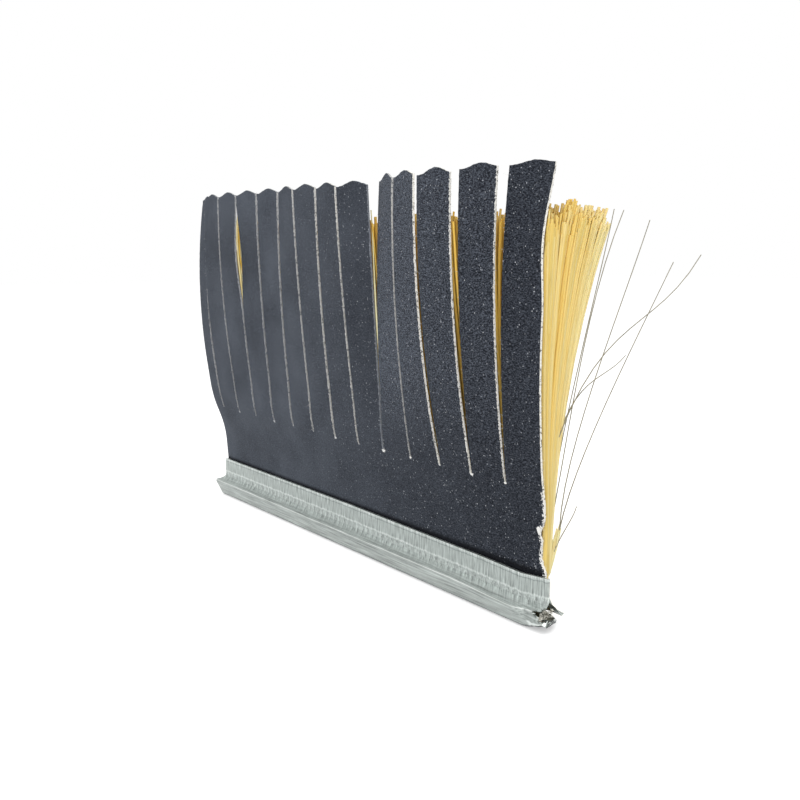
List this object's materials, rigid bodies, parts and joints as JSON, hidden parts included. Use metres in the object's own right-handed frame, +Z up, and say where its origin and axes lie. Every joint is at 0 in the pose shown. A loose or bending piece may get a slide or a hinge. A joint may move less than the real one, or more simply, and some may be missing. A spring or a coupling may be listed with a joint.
{
  "type": "sanding strip brush",
  "caption": "Strip of slit dark abrasive cloth backed by a fan of straw-coloured plant fibre bristles, clamped in a galvanised steel channel whose anchor foot slides into a drum groove.",
  "frame": {"origin": "centre of the foot's flat underside, halfway along the strip", "axes": "+X along the strip, +Z up from the foot to the flap tips, -Y the way the abrasive side faces"},
  "size_m": [0.1, 0.0156, 0.06],
  "materials": {
    "galvanised_sheet": "galvanised, scuffed by the forming rolls",
    "drawn_wire": "drawn",
    "folded_fibre": "packed plant fibre",
    "abrasive_cloth": "grit bonded on woven cloth",
    "bristle": "straw-coloured plant fibre with a waxy sheen"
  },
  "bodies": {
    "channel": {"channel": "galvanised_sheet", "core_wire": "drawn_wire", "fibre_root": "folded_fibre", "cloth_band": "abrasive_cloth"},
    "flap_01": {"flap_01": "abrasive_cloth"},
    "flap_02": {"flap_02": "abrasive_cloth"},
    "flap_03": {"flap_03": "abrasive_cloth"},
    "flap_04": {"flap_04": "abrasive_cloth"},
    "flap_05": {"flap_05": "abrasive_cloth"},
    "flap_06": {"flap_06": "abrasive_cloth"},
    "flap_07": {"flap_07": "abrasive_cloth"},
    "flap_08": {"flap_08": "abrasive_cloth"},
    "flap_09": {"flap_09": "abrasive_cloth"},
    "flap_10": {"flap_10": "abrasive_cloth"},
    "flap_11": {"flap_11": "abrasive_cloth"},
    "flap_12": {"flap_12": "abrasive_cloth"},
    "flap_13": {"flap_13": "abrasive_cloth"},
    "flap_14": {"flap_14": "abrasive_cloth"},
    "tuft_01": {"tuft_01": "bristle"},
    "tuft_02": {"tuft_02": "bristle"},
    "tuft_03": {"tuft_03": "bristle"},
    "tuft_04": {"tuft_04": "bristle"},
    "tuft_05": {"tuft_05": "bristle"},
    "tuft_06": {"tuft_06": "bristle"},
    "tuft_07": {"tuft_07": "bristle"},
    "tuft_08": {"tuft_08": "bristle"},
    "tuft_09": {"tuft_09": "bristle"},
    "tuft_10": {"tuft_10": "bristle"},
    "tuft_11": {"tuft_11": "bristle"},
    "tuft_12": {"tuft_12": "bristle"},
    "tuft_13": {"tuft_13": "bristle"},
    "tuft_14": {"tuft_14": "bristle"}
  },
  "joints": [
    {"name": "flap_01_bend", "type": "hinge", "parent": "channel", "child": "flap_01", "pos_m": [-0.0481, -0.00305, 0.0188], "axis": [-1, 0, 0], "range_deg": [0, 35], "stiffness_Nm_per_rad": 0.009},
    {"name": "flap_02_bend", "type": "hinge", "parent": "channel", "child": "flap_02", "pos_m": [-0.0425, -0.00299, 0.0188], "axis": [-1, 0, 0], "range_deg": [0, 35], "stiffness_Nm_per_rad": 0.009},
    {"name": "flap_03_bend", "type": "hinge", "parent": "channel", "child": "flap_03", "pos_m": [-0.0351, -0.00291, 0.0188], "axis": [-1, 0, 0], "range_deg": [0, 35], "stiffness_Nm_per_rad": 0.009},
    {"name": "flap_04_bend", "type": "hinge", "parent": "channel", "child": "flap_04", "pos_m": [-0.0277, -0.00283, 0.0188], "axis": [-1, 0, 0], "range_deg": [0, 35], "stiffness_Nm_per_rad": 0.009},
    {"name": "flap_05_bend", "type": "hinge", "parent": "channel", "child": "flap_05", "pos_m": [-0.0203, -0.00275, 0.0188], "axis": [-1, 0, 0], "range_deg": [0, 35], "stiffness_Nm_per_rad": 0.009},
    {"name": "flap_06_bend", "type": "hinge", "parent": "channel", "child": "flap_06", "pos_m": [-0.0129, -0.00267, 0.0188], "axis": [-1, 0, 0], "range_deg": [0, 35], "stiffness_Nm_per_rad": 0.009},
    {"name": "flap_07_bend", "type": "hinge", "parent": "channel", "child": "flap_07", "pos_m": [-0.0055, -0.00259, 0.0188], "axis": [-1, 0, 0], "range_deg": [0, 35], "stiffness_Nm_per_rad": 0.009},
    {"name": "flap_08_bend", "type": "hinge", "parent": "channel", "child": "flap_08", "pos_m": [0.0019, -0.0025, 0.0188], "axis": [-1, 0, 0], "range_deg": [0, 35], "stiffness_Nm_per_rad": 0.009},
    {"name": "flap_09_bend", "type": "hinge", "parent": "channel", "child": "flap_09", "pos_m": [0.0093, -0.00242, 0.0188], "axis": [-1, 0, 0], "range_deg": [0, 35], "stiffness_Nm_per_rad": 0.009},
    {"name": "flap_10_bend", "type": "hinge", "parent": "channel", "child": "flap_10", "pos_m": [0.0167, -0.00234, 0.0188], "axis": [-1, 0, 0], "range_deg": [0, 35], "stiffness_Nm_per_rad": 0.009},
    {"name": "flap_11_bend", "type": "hinge", "parent": "channel", "child": "flap_11", "pos_m": [0.0241, -0.00226, 0.0188], "axis": [-1, 0, 0], "range_deg": [0, 35], "stiffness_Nm_per_rad": 0.009},
    {"name": "flap_12_bend", "type": "hinge", "parent": "channel", "child": "flap_12", "pos_m": [0.0315, -0.00218, 0.0188], "axis": [-1, 0, 0], "range_deg": [0, 35], "stiffness_Nm_per_rad": 0.009},
    {"name": "flap_13_bend", "type": "hinge", "parent": "channel", "child": "flap_13", "pos_m": [0.0389, -0.0021, 0.0188], "axis": [-1, 0, 0], "range_deg": [0, 35], "stiffness_Nm_per_rad": 0.009},
    {"name": "flap_14_bend", "type": "hinge", "parent": "channel", "child": "flap_14", "pos_m": [0.0463, -0.00202, 0.0188], "axis": [-1, 0, 0], "range_deg": [0, 35], "stiffness_Nm_per_rad": 0.009},
    {"name": "tuft_01_bend", "type": "hinge", "parent": "channel", "child": "tuft_01", "pos_m": [-0.0481, 0.00077, 0.0078], "axis": [-1, 0, 0], "range_deg": [0, 28], "stiffness_Nm_per_rad": 0.009},
    {"name": "tuft_02_bend", "type": "hinge", "parent": "channel", "child": "tuft_02", "pos_m": [-0.0425, 0.00077, 0.0078], "axis": [-1, 0, 0], "range_deg": [0, 28], "stiffness_Nm_per_rad": 0.009},
    {"name": "tuft_03_bend", "type": "hinge", "parent": "channel", "child": "tuft_03", "pos_m": [-0.0351, 0.00077, 0.0078], "axis": [-1, 0, 0], "range_deg": [0, 28], "stiffness_Nm_per_rad": 0.009},
    {"name": "tuft_04_bend", "type": "hinge", "parent": "channel", "child": "tuft_04", "pos_m": [-0.0277, 0.00077, 0.0078], "axis": [-1, 0, 0], "range_deg": [0, 28], "stiffness_Nm_per_rad": 0.009},
    {"name": "tuft_05_bend", "type": "hinge", "parent": "channel", "child": "tuft_05", "pos_m": [-0.0203, 0.00077, 0.0078], "axis": [-1, 0, 0], "range_deg": [0, 28], "stiffness_Nm_per_rad": 0.009},
    {"name": "tuft_06_bend", "type": "hinge", "parent": "channel", "child": "tuft_06", "pos_m": [-0.0129, 0.00077, 0.0078], "axis": [-1, 0, 0], "range_deg": [0, 28], "stiffness_Nm_per_rad": 0.009},
    {"name": "tuft_07_bend", "type": "hinge", "parent": "channel", "child": "tuft_07", "pos_m": [-0.0055, 0.00077, 0.0078], "axis": [-1, 0, 0], "range_deg": [0, 28], "stiffness_Nm_per_rad": 0.009},
    {"name": "tuft_08_bend", "type": "hinge", "parent": "channel", "child": "tuft_08", "pos_m": [0.0019, 0.00077, 0.0078], "axis": [-1, 0, 0], "range_deg": [0, 28], "stiffness_Nm_per_rad": 0.009},
    {"name": "tuft_09_bend", "type": "hinge", "parent": "channel", "child": "tuft_09", "pos_m": [0.0093, 0.00077, 0.0078], "axis": [-1, 0, 0], "range_deg": [0, 28], "stiffness_Nm_per_rad": 0.009},
    {"name": "tuft_10_bend", "type": "hinge", "parent": "channel", "child": "tuft_10", "pos_m": [0.0167, 0.00077, 0.0078], "axis": [-1, 0, 0], "range_deg": [0, 28], "stiffness_Nm_per_rad": 0.009},
    {"name": "tuft_11_bend", "type": "hinge", "parent": "channel", "child": "tuft_11", "pos_m": [0.0241, 0.00077, 0.0078], "axis": [-1, 0, 0], "range_deg": [0, 28], "stiffness_Nm_per_rad": 0.009},
    {"name": "tuft_12_bend", "type": "hinge", "parent": "channel", "child": "tuft_12", "pos_m": [0.0315, 0.00077, 0.0078], "axis": [-1, 0, 0], "range_deg": [0, 28], "stiffness_Nm_per_rad": 0.009},
    {"name": "tuft_13_bend", "type": "hinge", "parent": "channel", "child": "tuft_13", "pos_m": [0.0389, 0.00077, 0.0078], "axis": [-1, 0, 0], "range_deg": [0, 28], "stiffness_Nm_per_rad": 0.009},
    {"name": "tuft_14_bend", "type": "hinge", "parent": "channel", "child": "tuft_14", "pos_m": [0.0463, 0.00077, 0.0078], "axis": [-1, 0, 0], "range_deg": [0, 28], "stiffness_Nm_per_rad": 0.009}
  ],
  "couplings": [
    {"joint": "tuft_01_bend", "follows": "flap_01_bend", "ratio": 0.8},
    {"joint": "tuft_02_bend", "follows": "flap_02_bend", "ratio": 0.8},
    {"joint": "tuft_03_bend", "follows": "flap_03_bend", "ratio": 0.8},
    {"joint": "tuft_04_bend", "follows": "flap_04_bend", "ratio": 0.8},
    {"joint": "tuft_05_bend", "follows": "flap_05_bend", "ratio": 0.8},
    {"joint": "tuft_06_bend", "follows": "flap_06_bend", "ratio": 0.8},
    {"joint": "tuft_07_bend", "follows": "flap_07_bend", "ratio": 0.8},
    {"joint": "tuft_08_bend", "follows": "flap_08_bend", "ratio": 0.8},
    {"joint": "tuft_09_bend", "follows": "flap_09_bend", "ratio": 0.8},
    {"joint": "tuft_10_bend", "follows": "flap_10_bend", "ratio": 0.8},
    {"joint": "tuft_11_bend", "follows": "flap_11_bend", "ratio": 0.8},
    {"joint": "tuft_12_bend", "follows": "flap_12_bend", "ratio": 0.8},
    {"joint": "tuft_13_bend", "follows": "flap_13_bend", "ratio": 0.8},
    {"joint": "tuft_14_bend", "follows": "flap_14_bend", "ratio": 0.8}
  ]
}
